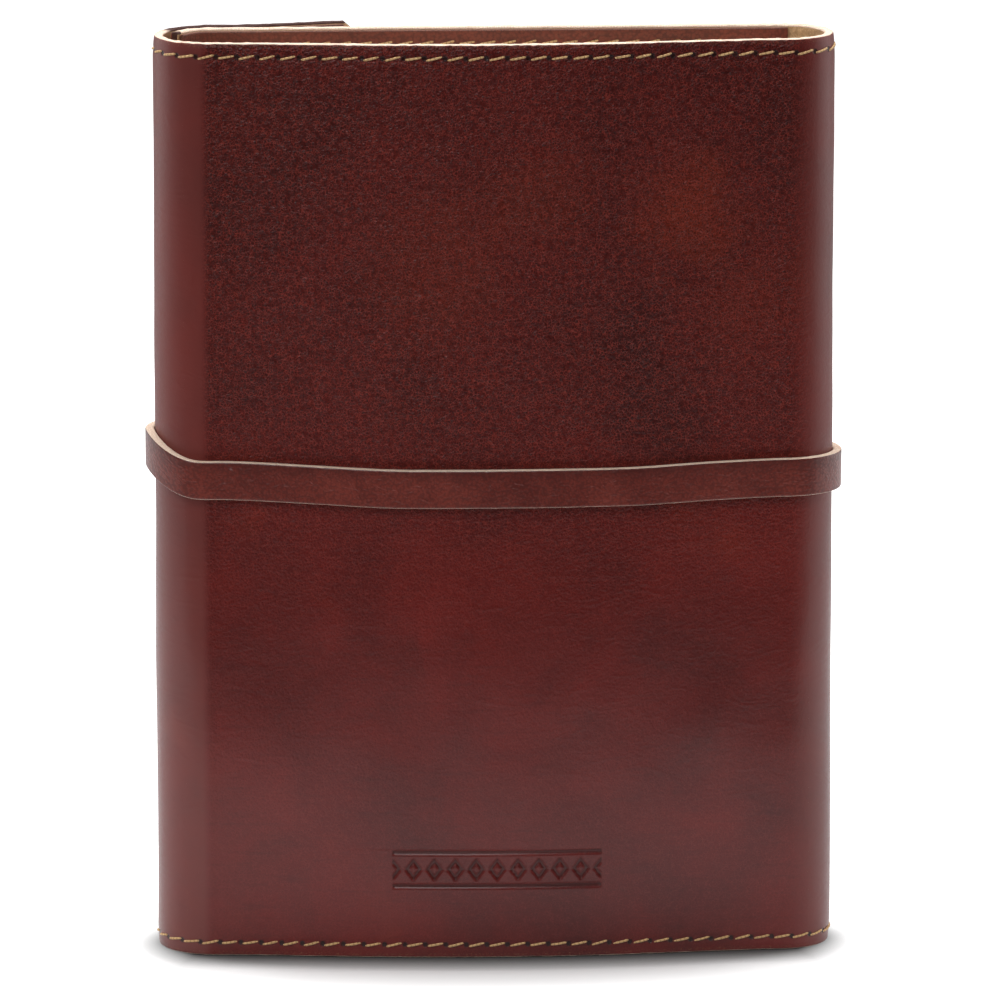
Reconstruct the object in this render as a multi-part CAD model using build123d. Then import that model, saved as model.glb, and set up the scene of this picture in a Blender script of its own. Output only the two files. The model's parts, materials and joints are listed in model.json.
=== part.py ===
from build123d import *
import os

# Leather wrap cover for a pocket notebook, standing on its lower edge with the back cover facing -Y.
# The origin is at the middle of the footprint, +Z is up and +X runs towards the spine.
# One hide runs front cover - spine - back cover - fore-edge fold - flap. Each of the two bends is cut into
# strips that turn about creases on the hide's outer (grain) side, so it opens out flat.

# ---------- driving dimensions (mm) ----------
body_width = 165.0
body_height = 226.0
hide_t = 2.2
lining_t = 1.4
flap_lining_t = 1.15
board_t = 1.0
card_t = 0.6
pocket_depth = 1.2

fold_outer_r = 13.95
spine_outer_r = 12.1
bend_strips = 3
strip_end_deg = 0.8
panel_gap = 0.15

lip_outer_r = 10.25
lip_end_deg = 165.0

flap_top_x = -36.0
flap_tip_x = 16.0

strap_w = 9.5
strap_t = 2.2
strap_lift = 0.1
strap_z = 116.0
strap_root_x = 44.0
strap_step_x = 18.0
strap_landing_x = 26.0
strap_tip_x = 41.0
strap_root_sewn_length = 18.0

keeper_x = 29.0
keeper_w = 7.0
keeper_t = 1.4
keeper_room = 0.4

stitch_inset = 3.2
thread_w = 0.7
thread_proud = 0.25
thread_end = 1.0

rim_w = 6.0
pocket_edge_x = 69.8
board_left_x = -62.0
block_left_x = -69.0
block_right_x = 70.2
block_height = 206.0
board_height = 210.0
tape_t = 0.5
tape_leg = 12.0
tape_face_t = 0.4

# ---------- places worked out from them ----------
fold_x = -body_width / 2 + fold_outer_r
spine_x = body_width / 2 - spine_outer_r
near_outer = -fold_outer_r
near_inner = near_outer + hide_t
spine_y = near_outer + spine_outer_r
front_outer = spine_y + spine_outer_r
front_inner = front_outer - hide_t
flap_outer = fold_outer_r
flap_inner = flap_outer - hide_t
back_lining_outer = near_inner + pocket_depth
back_lining_inner = back_lining_outer + lining_t
front_lining_inner = front_inner - lining_t
block_near = back_lining_inner + 0.1
card_far = front_lining_inner - 0.8
block_far = card_far - card_t
step_deg = 180.0 / bend_strips
fold_centre = (fold_x, 0)
spine_centre = (spine_x, spine_y)

os.makedirs("parts", exist_ok=True)


def slab(low, high):
    """A box from its lowest corner to its highest corner."""
    size = [high[i] - low[i] for i in range(3)]
    middle = [(high[i] + low[i]) / 2 for i in range(3)]
    return Pos(*middle) * Box(*size)


def arc_band(centre, inner_r, outer_r, start_deg, end_deg, low_z, high_z):
    """A curved wall between two radii, seen from above, from one height to another."""
    turn = end_deg - start_deg
    outer = CenterArc(centre, outer_r, start_deg, turn)
    inner = CenterArc(centre, inner_r, start_deg, turn)
    ends = [Line(outer @ 0, inner @ 0), Line(outer @ 1, inner @ 1)]
    face = make_face([outer, inner] + ends)
    return Pos(0, 0, low_z) * extrude(face, amount=high_z - low_z, dir=(0, 0, 1))


def group(solids):
    """Separate solids that share one node."""
    return Compound(children=list(solids))


def thread_heights():
    """The lower and upper limits of the two rows of stitching."""
    rows = (body_height - stitch_inset, stitch_inset)
    return [(row - thread_w / 2, row + thread_w / 2) for row in rows]


def strip_angles(start_deg, direction, number):
    """The two angles between which one strip of a bend lies."""
    first = start_deg + direction * step_deg * number
    angles = (first + direction * strip_end_deg, first + direction * (step_deg - strip_end_deg))
    return min(angles), max(angles)


# ---------- hide ----------
def cover_panel(near, far, left, right):
    return slab((left, near, 0), (right, far, body_height))


def bend_strip(centre, outer_r, start_deg, direction, number):
    low, high = strip_angles(start_deg, direction, number)
    return arc_band(centre, outer_r - hide_t, outer_r, low, high, 0, body_height)


def flap_outline(near, far):
    """The flap, with its free edge one arc through the two corners and the tip."""
    left = fold_x + panel_gap
    with BuildSketch(Plane.XZ) as outline:
        with BuildLine():
            edge = ThreePointArc((flap_top_x, 0), (flap_tip_x, body_height / 2), (flap_top_x, body_height))
            Polyline(edge @ 1, (left, body_height), (left, 0), edge @ 0)
        make_face()
    return Pos(0, near, 0) * extrude(outline.sketch, amount=far - near, dir=(0, 1, 0))


# ---------- linings ----------
def back_pocket():
    """A shallow tray, open towards the spine, that the notebook's back board slides into."""
    left = fold_x + panel_gap
    tray = slab((left, near_inner, 0), (pocket_edge_x, back_lining_inner, body_height))
    hollow = slab(
        (left + rim_w, near_inner, rim_w),
        (pocket_edge_x + 1, back_lining_outer, body_height - rim_w),
    )
    return tray - hollow


# ---------- stitching ----------
def straight_rows(faces, left, right):
    """Thread lying on the given faces, each as (near, far), along both rows or one of them."""
    return {
        name: group(slab((left, near, low), (right, far, high)) for near, far in faces)
        for name, (low, high) in zip(("top", "bottom"), thread_heights())
    }


def bend_thread(centre, outer_r, start_deg, direction, number):
    low, high = strip_angles(start_deg, direction, number)
    bands = [
        arc_band(centre, outer_r, outer_r + thread_proud, low + 4, high - 4, low_z, high_z)
        for low_z, high_z in thread_heights()
    ]
    return group(bands)


def flap_thread():
    """Thread round the flap's curved edge, in two lengths, above and below the strap."""
    half = body_height / 2
    bulge = flap_tip_x - flap_top_x
    edge_r = (half * half + bulge * bulge) / (2 * bulge)
    centre = (flap_tip_x - edge_r, half)
    row_r = edge_r - stitch_inset
    with BuildSketch(Plane.XZ) as ring:
        with Locations(centre):
            Circle(row_r + thread_w / 2)
            Circle(row_r - thread_w / 2, mode=Mode.SUBTRACT)
    ring_solid = Pos(0, flap_outer, 0) * extrude(ring.sketch, amount=thread_proud, dir=(0, 1, 0))
    lengths = ((stitch_inset, strap_z - strap_w), (strap_z + strap_w, body_height - stitch_inset))
    left = flap_top_x - 2 * stitch_inset
    return group(
        (ring_solid & slab((left, 0, low), (flap_tip_x, 2 * flap_outer, high))).solid() for low, high in lengths
    )


# ---------- strap ----------
strap_low = strap_z - strap_w / 2
strap_high = strap_z + strap_w / 2


def strap_straight(near, far, left, right):
    return slab((left, near, strap_low), (right, far, strap_high))


def strap_round(centre, outer_r, start_deg, direction, number):
    low, high = strip_angles(start_deg, direction, number)
    inner_r = outer_r + strap_lift
    return arc_band(centre, inner_r, inner_r + strap_t, low, high, strap_low, strap_high)


def strap_over_flap():
    """The strap's last run: over the flap, down past its edge and on to the tip."""
    upper = flap_outer + strap_lift
    lower = front_outer + keeper_room
    with BuildSketch() as profile:
        with BuildLine():
            Polyline(
                (fold_x + panel_gap, upper),
                (strap_step_x, upper),
                (strap_landing_x, lower),
                (strap_tip_x, lower),
                (strap_tip_x, lower + strap_t),
                (strap_landing_x, lower + strap_t),
                (strap_step_x, upper + strap_t),
                (fold_x + panel_gap, upper + strap_t),
                close=True,
            )
        make_face()
    return Pos(0, 0, strap_low) * extrude(profile.sketch, amount=strap_w, dir=(0, 0, 1))


def keeper():
    """A bridge of thin leather, sewn to the front cover, that the strap's tip passes under."""
    opening_far = front_outer + keeper_room + strap_t + 0.3
    right = keeper_x + keeper_w
    low = strap_low - keeper_room
    high = strap_high + keeper_room
    bridge = slab((keeper_x, front_outer, low - keeper_t), (right, opening_far + keeper_t, high + keeper_t))
    opening = slab((keeper_x - 1, front_outer, low), (right + 1, opening_far, high))
    return bridge - opening


def strap_root_seam():
    """A frame of thread that holds the strap's root to the front cover."""
    far = front_outer + strap_lift + strap_t
    left = strap_root_x + 2
    right = left + strap_root_sewn_length
    low = strap_low + 2
    high = strap_high - 2
    outside = slab((left, far, low), (right, far + thread_proud, high))
    inside = slab((left + thread_w, far, low + thread_w), (right - thread_w, far + thread_proud, high - thread_w))
    return outside - inside


# ---------- refill notebook ----------
def refill_part(near, far, left, right, height):
    low = (body_height - height) / 2
    return slab((left, near, low), (right, far, low + height))


def binding_tape():
    """Cloth that holds the card, the pages and the back board together at the spine."""
    right = block_right_x + tape_t
    spine = refill_part(near_inner + 0.25, card_far + tape_face_t, block_right_x, right, block_height)
    leg = refill_part(card_far, card_far + tape_face_t, block_right_x - tape_leg, right, block_height)
    return spine + leg


# ---------- nodes ----------
back_left = fold_x + panel_gap
back_right = spine_x - panel_gap
back_rows = straight_rows(
    ((near_outer - thread_proud, near_outer), (back_lining_inner, back_lining_inner + thread_proud)),
    back_left + thread_end,
    pocket_edge_x - thread_end,
)
front_rows = straight_rows(
    ((front_outer, front_outer + thread_proud), (front_lining_inner - thread_proud, front_lining_inner)),
    fold_x,
    pocket_edge_x - thread_end,
)
strap_near = near_outer - strap_lift
strap_front = front_outer + strap_lift

nodes = {
    "back_cover_panel": cover_panel(near_outer, near_inner, back_left, back_right),
    "back_pocket_lining": back_pocket(),
    "back_top_thread": back_rows["top"],
    "back_bottom_thread": back_rows["bottom"],
    "notebook_page_block": refill_part(block_near, block_far, block_left_x, block_right_x, block_height),
    "notebook_back_board": refill_part(
        near_inner + 0.1, near_inner + 0.1 + board_t, board_left_x, block_right_x, board_height
    ),
    "notebook_front_card": refill_part(block_far, card_far, block_left_x, block_right_x, board_height),
    "notebook_binding_tape": binding_tape(),
    "front_cover_panel": cover_panel(front_inner, front_outer, fold_x, back_right),
    "front_cover_lip": arc_band(
        fold_centre, lip_outer_r - hide_t, lip_outer_r, 90, lip_end_deg, 0, body_height
    ),
    "front_pocket_lining": cover_panel(front_lining_inner, front_inner, fold_x, pocket_edge_x),
    "front_top_thread": front_rows["top"],
    "front_bottom_thread": front_rows["bottom"],
    "flap_panel": flap_outline(flap_inner, flap_outer),
    "flap_lining": flap_outline(flap_inner - flap_lining_t, flap_inner),
    "flap_edge_thread": flap_thread(),
    "strap_back_run": strap_straight(strap_near - strap_t, strap_near, back_left, back_right),
    "strap_front_run": strap_straight(strap_front, strap_front + strap_t, strap_root_x, back_right),
    "strap_root_thread": strap_root_seam(),
    "strap_keeper": keeper(),
    "strap_flap_run": strap_over_flap(),
}

bends = {
    "spine": (spine_centre, spine_outer_r, -90, 1),
    "fold": (fold_centre, fold_outer_r, -90, -1),
}
for bend, (centre, outer_r, start_deg, direction) in bends.items():
    for number in range(bend_strips):
        place = (centre, outer_r, start_deg, direction, number)
        nodes[f"{bend}_strip_{number + 1}"] = bend_strip(*place)
        nodes[f"{bend}_thread_{number + 1}"] = bend_thread(*place)
        nodes[f"strap_{bend}_run_{number + 1}"] = strap_round(*place)

for name, shape in nodes.items():
    export_step(shape, f"parts/{name}.step")
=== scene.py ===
import json
import math

import bpy
import numpy as np
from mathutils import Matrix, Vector, noise


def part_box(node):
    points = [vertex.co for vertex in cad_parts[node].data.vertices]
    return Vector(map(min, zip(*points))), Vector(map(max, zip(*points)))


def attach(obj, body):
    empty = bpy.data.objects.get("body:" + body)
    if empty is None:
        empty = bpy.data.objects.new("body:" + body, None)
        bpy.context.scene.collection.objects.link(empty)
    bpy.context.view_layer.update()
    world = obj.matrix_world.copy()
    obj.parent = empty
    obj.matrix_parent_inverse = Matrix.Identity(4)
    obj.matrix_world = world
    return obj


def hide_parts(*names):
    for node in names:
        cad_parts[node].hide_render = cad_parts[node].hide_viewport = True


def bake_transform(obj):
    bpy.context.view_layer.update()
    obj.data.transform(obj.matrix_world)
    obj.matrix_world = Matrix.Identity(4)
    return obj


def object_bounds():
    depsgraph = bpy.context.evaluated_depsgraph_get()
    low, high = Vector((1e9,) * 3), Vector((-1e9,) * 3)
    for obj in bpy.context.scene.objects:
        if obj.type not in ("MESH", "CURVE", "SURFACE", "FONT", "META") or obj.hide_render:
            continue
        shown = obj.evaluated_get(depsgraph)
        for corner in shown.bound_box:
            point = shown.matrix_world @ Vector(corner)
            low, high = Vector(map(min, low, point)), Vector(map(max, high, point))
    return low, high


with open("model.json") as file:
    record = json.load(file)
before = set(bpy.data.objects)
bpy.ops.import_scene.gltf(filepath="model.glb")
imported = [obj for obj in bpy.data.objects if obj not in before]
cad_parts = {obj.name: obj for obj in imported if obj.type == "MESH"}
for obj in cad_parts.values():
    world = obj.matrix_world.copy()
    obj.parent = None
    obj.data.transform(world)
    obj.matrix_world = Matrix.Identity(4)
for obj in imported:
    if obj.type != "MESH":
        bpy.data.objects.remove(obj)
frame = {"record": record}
cad_box = [list(corner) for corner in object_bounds()]

# ---------------------------------------------------------------------------------------------------
# Studio
# A white table that runs on as far as it is seen, a broad soft light above and in front, and two tall
# strips that draw a pale sheen down the rounded spine and fold, where the leather also carries a painted
# sheen.
# ---------------------------------------------------------------------------------------------------
lowest, highest = (Vector(corner) for corner in cad_box)
middle = (lowest + highest) / 2


def stand_back(target, azimuth, elevation, distance):
    """A point at some distance from a target. Azimuth 0 is in front of the back cover."""
    turn, lift = math.radians(azimuth), math.radians(elevation)
    way = Vector((math.sin(turn) * math.cos(lift), -math.cos(turn) * math.cos(lift), math.sin(lift)))
    return target + way * distance


def look_from(item, place, target):
    item.location = place
    item.rotation_euler = (target - place).to_track_quat("-Z", "Y").to_euler()
    bpy.context.scene.collection.objects.link(item)
    return item


view_distance = 2.8
view_width = 0.2425
view_target = Vector((0.0008, lowest.y, middle.z + 0.0007))
lens = bpy.data.cameras.new("camera")
lens.lens = lens.sensor_width * view_distance / view_width
lens.clip_end = 20
camera = look_from(
    bpy.data.objects.new("camera", lens), stand_back(view_target, -2.5, 12.0, view_distance), view_target
)
bpy.context.scene.camera = camera
bpy.context.scene.view_settings.view_transform = "Standard"
bpy.context.scene.view_settings.look = "None"


def lamp(name, place, size, power, target=middle):
    light = bpy.data.lights.new(name, "AREA")
    light.shape = "RECTANGLE"
    light.size, light.size_y = size
    light.energy = power
    return look_from(bpy.data.objects.new(name, light), place, target)


lamp("key_light", stand_back(middle, -20, 42, 1.3), (1.0, 0.7), 9)
lamp("left_strip", stand_back(middle, -116, 6, 1.0), (0.8, 1.2), 4.4)
lamp("right_strip", stand_back(middle, 104, 6, 1.0), (0.8, 1.2), 5)
lamp("top_light", stand_back(middle, 180, 79, 1.2), (0.9, 0.22), 15, Vector((0, 0, 0)))

# the air is white to look at, but what the leather mirrors is a dark room with bright side walls
world = bpy.data.worlds.new("studio_air")
world.use_nodes = True
bpy.context.scene.world = world
air = world.node_tree
backdrop = air.nodes["Background"]
backdrop.inputs["Color"].default_value = (1, 1, 1, 1)
room = air.nodes.new("ShaderNodeBackground")
room.inputs["Strength"].default_value = 0.42
either = air.nodes.new("ShaderNodeMixShader")
seen = air.nodes.new("ShaderNodeLightPath")
way = air.nodes.new("ShaderNodeTexCoord")
split = air.nodes.new("ShaderNodeSeparateXYZ")
walls = air.nodes.new("ShaderNodeValToRGB")
walls.color_ramp.elements[0].position = 0.15
walls.color_ramp.elements[0].color = (0.04, 0.04, 0.04, 1)
walls.color_ramp.elements[1].position = 0.75
walls.color_ramp.elements[1].color = (1, 1, 1, 1)
ahead = air.nodes.new("ShaderNodeMath")
ahead.operation = "MULTIPLY_ADD"
ahead.inputs[1].default_value = 0.6
ahead.inputs[2].default_value = 0.62
for source, target in (
    (way.outputs["Generated"], split.inputs[0]),
    (split.outputs["Y"], ahead.inputs[0]),
    (ahead.outputs[0], walls.inputs[0]),
    (walls.outputs[0], room.inputs["Color"]),
    (seen.outputs["Is Camera Ray"], either.inputs[0]),
    (room.outputs[0], either.inputs[1]),
    (backdrop.outputs[0], either.inputs[2]),
    (either.outputs[0], air.nodes["World Output"].inputs["Surface"]),
):
    air.links.new(source, target)


def table_top(name, near, far, mirrored):
    """A stretch of the white table, and how bright it looks in the leather's polish. It glows a little away
    from the object's foot, which keeps the contact shadow close to it, and near the foot its colour is
    darkened by ambient occlusion: a painted contact shadow."""
    across = 6
    corners = [(-across, near, 0), (across, near, 0), (across, far, 0), (-across, far, 0)]
    mesh = bpy.data.meshes.new(name)
    mesh.from_pydata(corners, [], [(0, 1, 2, 3)])
    top = bpy.data.objects.new(name, mesh)
    bpy.context.scene.collection.objects.link(top)
    paint = bpy.data.materials.new(name)
    paint.use_nodes = True
    tree = paint.node_tree
    coat = tree.nodes["Principled BSDF"]
    # ambient occlusion darkens the table's colour near the foot: a painted contact shadow
    painted_contact_shadow = tree.nodes.new("ShaderNodeAmbientOcclusion")
    painted_contact_shadow.inputs["Distance"].default_value = 0.015
    deeper = tree.nodes.new("ShaderNodeGamma")
    deeper.inputs["Gamma"].default_value = 3.6
    coat.inputs["Roughness"].default_value = 0.7
    coat.inputs["Specular IOR Level"].default_value = 0.1
    coat.inputs["Emission Strength"].default_value = 0.6
    place = tree.nodes.new("ShaderNodeTexCoord")
    clear = tree.nodes.new("ShaderNodeMath")
    clear.operation = "MAXIMUM"
    round_foot, beside_foot = ((0.36, 1, 1), 0.03, 0.055), ((1, 0, 0), 0.074, 0.087)
    for side, (scale, shaded, bright) in enumerate((round_foot, beside_foot)):
        squash = tree.nodes.new("ShaderNodeMapping")
        squash.inputs["Scale"].default_value = scale
        reach = tree.nodes.new("ShaderNodeVectorMath")
        reach.operation = "LENGTH"
        far_off = tree.nodes.new("ShaderNodeMapRange")
        far_off.inputs["From Min"].default_value = shaded
        far_off.inputs["From Max"].default_value = bright
        tree.links.new(place.outputs["Object"], squash.inputs["Vector"])
        tree.links.new(squash.outputs[0], reach.inputs[0])
        tree.links.new(reach.outputs["Value"], far_off.inputs["Value"])
        tree.links.new(far_off.outputs[0], clear.inputs[side])
    dull = tree.nodes.new("ShaderNodeBsdfDiffuse")
    dull.inputs["Color"].default_value = (mirrored, mirrored, mirrored, 1)
    path = tree.nodes.new("ShaderNodeLightPath")
    swap = tree.nodes.new("ShaderNodeMixShader")
    for source, target in (
        (painted_contact_shadow.outputs["Color"], deeper.inputs["Color"]),
        (deeper.outputs[0], coat.inputs["Base Color"]),
        (clear.outputs[0], coat.inputs["Emission Color"]),
        (path.outputs["Is Camera Ray"], swap.inputs[0]),
        (dull.outputs[0], swap.inputs[1]),
        (coat.outputs[0], swap.inputs[2]),
        (swap.outputs[0], tree.nodes["Material Output"].inputs["Surface"]),
    ):
        tree.links.new(source, target)
    mesh.materials.append(paint)


table_edge = -0.25
table_top("table", table_edge, 9, 0.72)
table_top("table_front", -9, table_edge, 0.02)

# ---------------------------------------------------------------------------------------------------
# Hide
# One piece of 2.2 mm vegetable-tanned leather, cut with raw edges, dyed mahogany and polished on the grain
# side. It runs flap - fore-edge fold - back cover - spine - front cover, and the front cover's free edge
# curls round the pages. Each crease is a joint, and a bend is made of lengths laid across it.
# ---------------------------------------------------------------------------------------------------
creases = {joint["name"]: Vector(joint["pos_m"]) for joint in frame["record"]["behaviour"]["joints"]}
spine_near, spine_far = creases["cover_opening"], creases["front_cover_crease"]
fold_near, fold_far = creases["flap_opening"], creases["flap_crease"]
spine_r = (spine_far.y - spine_near.y) / 2
fold_r = (fold_far.y - fold_near.y) / 2
spine_y = (spine_far.y + spine_near.y) / 2
lip_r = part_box("front_cover_lip")[1].y
lip_turn = math.radians(75)
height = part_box("back_cover_panel")[1].z
hide_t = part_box("back_cover_panel")[1].y - spine_near.y
bow_depth = 0.0052
flare_depth = 0.0062

# distances along the hide's outer side, from the middle of the back: to the right they grow
spine_start = spine_near.x
spine_end = spine_start + math.pi * spine_r
lip_start = spine_end + spine_start - fold_near.x
lip_end = lip_start + lip_turn * lip_r
fold_start = fold_near.x
fold_end = fold_start - math.pi * fold_r
overlap = 0.006


def ease(value, low, high):
    """0 below low, 1 above high and smooth in between."""
    share = min(max((value - low) / (high - low), 0.0), 1.0)
    return share * share * (3 - 2 * share)


def hide_route(along):
    """Where the hide's outer side is, seen from above, and the way that it faces there."""
    if fold_start <= along <= spine_start:
        share = (2 * along - fold_start - spine_start) / (spine_start - fold_start)
        bow = bow_depth * max(0.0, 1 - share * share) ** 1.5
        return Vector((along, spine_near.y - bow, 0)), Vector((0, -1, 0))
    if along > lip_start:
        turn = math.pi / 2 + (along - lip_start) / lip_r
        away = Vector((math.cos(turn), math.sin(turn), 0))
        return Vector((fold_start, 0, 0)) + away * lip_r, away
    if along > spine_end:
        return Vector((spine_start + spine_end - along, spine_far.y, 0)), Vector((0, 1, 0))
    if along > spine_start:
        turn = -math.pi / 2 + (along - spine_start) / spine_r
        away = Vector((math.cos(turn), math.sin(turn), 0))
        return Vector((spine_start, spine_y, 0)) + away * spine_r, away
    if along > fold_end:
        turn = -math.pi / 2 - (fold_start - along) / fold_r
        away = Vector((math.cos(turn), math.sin(turn), 0))
        return Vector((fold_start, 0, 0)) + away * fold_r, away
    return Vector((fold_start + fold_end - along, fold_far.y, 0)), Vector((0, 1, 0))


row_inset = 0.0033
edge_round = 0.0005
thread_pull, thread_pull_reach = 0.00016, 0.0009
rolled_edge, rolled_reach = 0.00034, 0.0036
fray_depth = 0.00013
half = height / 2
rows = (row_inset, height - row_inset)


def hide_point(along, depth, z):
    """A point in the hide, at some depth under its outer side."""
    place, away = hide_route(along)
    swell = 0.00028 * noise.noise((along * 22, z * 22, 3.1))
    swell += 0.00010 * noise.noise((along * 70, z * 70, 9.4))
    if along < fold_end:
        lift = ease(z, 0.4 * height, height) * ease(fold_end - along, 0.004, 0.042)
        swell += flare_depth * lift
    pull = sum(thread_pull * math.exp(-(((z - row) / thread_pull_reach) ** 2)) for row in rows)
    if depth < hide_t / 2:
        swell -= pull
    rolled = rolled_edge * (1 - ease(min(z, height - z), 0.0, rolled_reach))
    swell -= rolled * (0.2 if along < fold_end else 1)
    place = place + away * (swell - depth)
    fray = fray_depth * noise.noise((along * 650, depth * 900, z * 20))
    if min(z, height - z) < edge_round:
        z += fray if z > half else abs(fray)
    return Vector((place.x, place.y, z))


def edge_profile(thickness, top, rounding, heights):
    """A wall's section as pairs (outer depth, inner depth, height), its corners rounded."""
    steps = [math.radians(angle) for angle in (0, 22.5, 45, 67.5, 90)]
    corner = [(rounding * (1 - math.sin(turn)), rounding * (1 - math.cos(turn))) for turn in steps]
    low = [(depth, thickness - depth, rise) for depth, rise in corner]
    high = [(depth, thickness - depth, top - rise) for depth, rise in reversed(corner)]
    return low + [(0.0, thickness, z) for z in heights if rounding < z < top - rounding] + high


def grid_lines(low, high, step):
    count = max(1, round((high - low) / step))
    return [low + (high - low) * number / count for number in range(count + 1)]


def wall(name, stations, profile, point, edge_rows=(2, 4), ends=(0, 0), soft=0.0004):
    """A closed sheet of leather: stations run along it and the profile across it. Its slots are outer side,
    inner side and cut edge. ends says over what reach each end is rounded, and 0 leaves it square."""
    columns = len(profile)
    spots, flat = [], []
    thickness = profile[columns // 2][1]
    reach = (stations[0], stations[-1])
    for along in stations:
        squeeze = 1.0
        for end, rounding in zip(reach, ends):
            gap = abs(along - end)
            if gap < rounding:
                fall = 1 - math.sqrt(1 - (1 - gap / rounding) ** 2)
                squeeze = min(squeeze, max(0.1, 1 - soft * fall / (thickness / 2)))
        for side in (0, 1):
            for pair in profile:
                depth = thickness / 2 + (pair[side] - thickness / 2) * squeeze
                spots.append(point(along, depth, pair[2]))
                flat.append((along, pair[2] + depth))
    faces, kinds = [], []
    stride = 2 * columns

    def add(corners, kind):
        faces.append(corners)
        kinds.append(kind)

    for station in range(len(stations) - 1):
        a, b = station * stride, (station + 1) * stride
        inner_a, inner_b = a + columns, b + columns
        for row in range(columns - 1):
            rows_in = min(row, columns - 2 - row)
            add((a + row, b + row, b + row + 1, a + row + 1), 2 if rows_in < edge_rows[0] else 0)
            cut = 2 if rows_in < edge_rows[1] else 1
            add((inner_a + row + 1, inner_b + row + 1, inner_b + row, inner_a + row), cut)
        add((a, a + columns, b + columns, b), 2)
        top = columns - 1
        add((a + top, b + top, b + columns + top, a + columns + top), 2)
    last = (len(stations) - 1) * stride
    for row in range(columns - 1):
        add((row, row + 1, columns + row + 1, columns + row), 2)
        add((last + row, last + columns + row, last + columns + row + 1, last + row + 1), 2)
    mesh = bpy.data.meshes.new(name)
    mesh.from_pydata([tuple(spot) for spot in spots], [], faces)
    mesh.polygons.foreach_set("material_index", kinds)
    mesh.polygons.foreach_set("use_smooth", [True] * len(faces))
    ends_only = mesh.attributes.new("sharp_edge", "BOOLEAN", "EDGE")
    pairs = np.empty(len(mesh.edges) * 2, np.int32)
    mesh.edges.foreach_get("vertices", pairs)
    pairs = pairs.reshape(-1, 2)
    ends_only.data.foreach_set("value", (pairs.max(1) < stride) | (pairs.min(1) >= last))
    corners = np.empty(len(mesh.loops), np.int32)
    mesh.loops.foreach_get("vertex_index", corners)
    layout = mesh.uv_layers.new(name="hide")
    layout.data.foreach_set("uv", np.array(flat, np.float32)[corners].ravel())
    volume = 0.0
    for face in faces:
        first, *others = (mesh.vertices[number].co for number in face)
        volume += sum(first.dot(second.cross(third)) for second, third in zip(others, others[1:]))
    if volume < 0:
        mesh.flip_normals()
    mesh.update()
    piece = bpy.data.objects.new(name, mesh)
    bpy.context.scene.collection.objects.link(piece)
    return piece


class Amount:
    """A number that varies over a surface, so that shader maths can be written as sums."""

    def __init__(self, finish, socket):
        self.finish, self.socket = finish, socket

    def sum(self, operation, *values):
        return self.finish.number("ShaderNodeMath", {"operation": operation}, dict(enumerate(values)))

    def __add__(self, other):
        return self.sum("ADD", self, other)

    def __sub__(self, other):
        return self.sum("SUBTRACT", self, other)

    def __rsub__(self, other):
        return self.sum("SUBTRACT", other, self)

    def __mul__(self, other):
        return self.sum("MULTIPLY", self, other)

    def __truediv__(self, other):
        return self.sum("DIVIDE", self, other)

    def __gt__(self, other):
        return self.sum("GREATER_THAN", self, other)

    def __lt__(self, other):
        return self.sum("LESS_THAN", self, other)

    __radd__ = __add__
    __rmul__ = __mul__

    def fade(self, low, high):
        """0 below low, 1 above high and smooth in between."""
        return self.finish.number(
            "ShaderNodeMapRange",
            {"interpolation_type": "SMOOTHSTEP"},
            {"Value": self, "From Min": low, "From Max": high},
        )

    def saw(self, period):
        """The distance to the middle of the period that it is in."""
        wrapped = self.sum("WRAP", self, period / 2, -period / 2)
        return wrapped.sum("ABSOLUTE", wrapped)


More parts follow.
